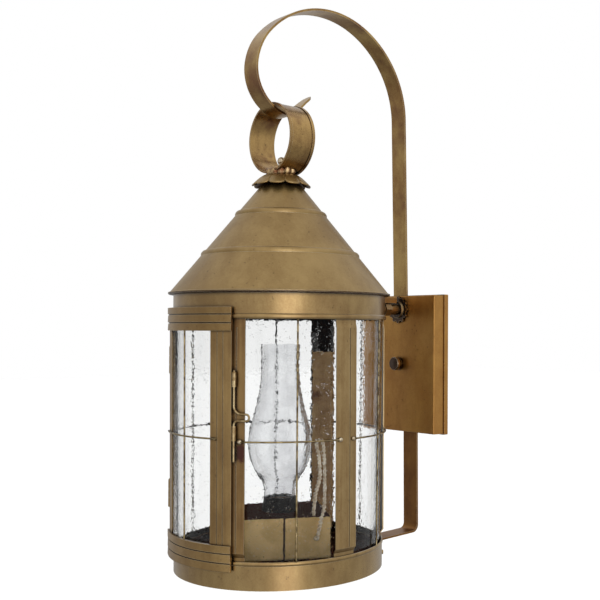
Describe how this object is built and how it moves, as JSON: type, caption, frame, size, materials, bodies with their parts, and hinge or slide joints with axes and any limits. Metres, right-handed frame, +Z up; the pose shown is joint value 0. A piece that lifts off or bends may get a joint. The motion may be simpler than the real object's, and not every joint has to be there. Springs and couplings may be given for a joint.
{
  "type": "outdoor wall lantern",
  "caption": "Round brass wall lantern with cone roof, seedy glass cage and hinged door, hung from a hooked arm on a wall plate.",
  "frame": {"origin": "centre of the wall plate's back face, on the wall plane", "axes": "+Z up, +Y into the wall, the lantern stands out along -Y, X along the wall"},
  "size_m": [0.2466, 0.3286, 0.6366],
  "materials": {
    "brass": "antique, satin",
    "wire": "antique, satin",
    "dark_metal": "blackened",
    "steel": "zinc plated",
    "seedy_glass": "clear with seeds",
    "clear_glass": "clear",
    "black_phenolic": "matte",
    "shell": "bright",
    "lead": "matte"
  },
  "bodies": {
    "lantern": {"wall_cover": "brass", "rear_frame": "brass", "rosette_nut": "brass", "wiring_pipe": "brass", "pipe_stay": "brass", "hook_arm": "brass", "lower_strap": "brass", "hanging_ring": "brass", "cap_nut": "brass", "crown_collar": "brass", "roof_upper": "brass", "roof_middle": "brass", "roof_lower": "brass", "top_band": "brass", "band_bead": "brass", "base_ring": "brass", "post_1": "brass", "post_2": "brass", "post_3": "brass", "post_4": "brass", "post_5": "brass", "post_6": "brass", "frame_knuckles": "brass", "hinge_pins": "brass", "latch_tubes": "brass", "strap_rivets": "brass", "base_screws": "brass", "socket_box": "brass", "wire_channel": "brass", "roof_spacer": "brass", "upright_wires": "wire", "level_wires": "wire", "wire_rivets": "wire", "pipe_coupling": "dark_metal", "pipe_locknuts": "dark_metal", "ring_bolt": "dark_metal", "base_floor": "dark_metal", "crossbar": "steel", "centre_stud": "steel", "glass_right_front": "seedy_glass", "glass_right_rear": "seedy_glass", "glass_rear": "seedy_glass", "glass_left_rear": "seedy_glass", "glass_left_front": "seedy_glass", "lamp_socket": "black_phenolic", "screw_shell": "shell", "centre_contact": "shell", "lamp_lead": "lead"},
    "door": {"door_top_rail": "brass", "door_bottom_rail": "brass", "door_latch_stile": "brass", "door_hinge_stile": "brass", "door_glass": "seedy_glass", "door_upright_wire": "wire", "door_level_wire": "wire", "door_knuckles": "brass"},
    "latch": {"latch_wire": "brass"},
    "thumb_nut": {"thumb_nut": "brass"},
    "chimney": {"chimney": "clear_glass"}
  },
  "joints": [
    {"name": "door_hinge", "type": "hinge", "parent": "lantern", "child": "door", "pos_m": [-0.06239, -0.30711, -0.068], "axis": [0, 0, -1], "range_deg": [0, 110]},
    {"name": "latch_turn", "type": "hinge", "parent": "lantern", "child": "latch", "pos_m": [0.0627, -0.30762, -0.046], "axis": [0, 0, -1], "range_deg": [0, 146]},
    {"name": "thumb_nut_turn", "type": "hinge", "parent": "lantern", "child": "thumb_nut", "pos_m": [0, -0.028, 0], "axis": [0, -1, 0], "continuous": true},
    {"name": "chimney_lift", "type": "slide", "parent": "lantern", "child": "chimney", "axis": [0, 0, 1], "range_m": [0, 0.04]}
  ]
}
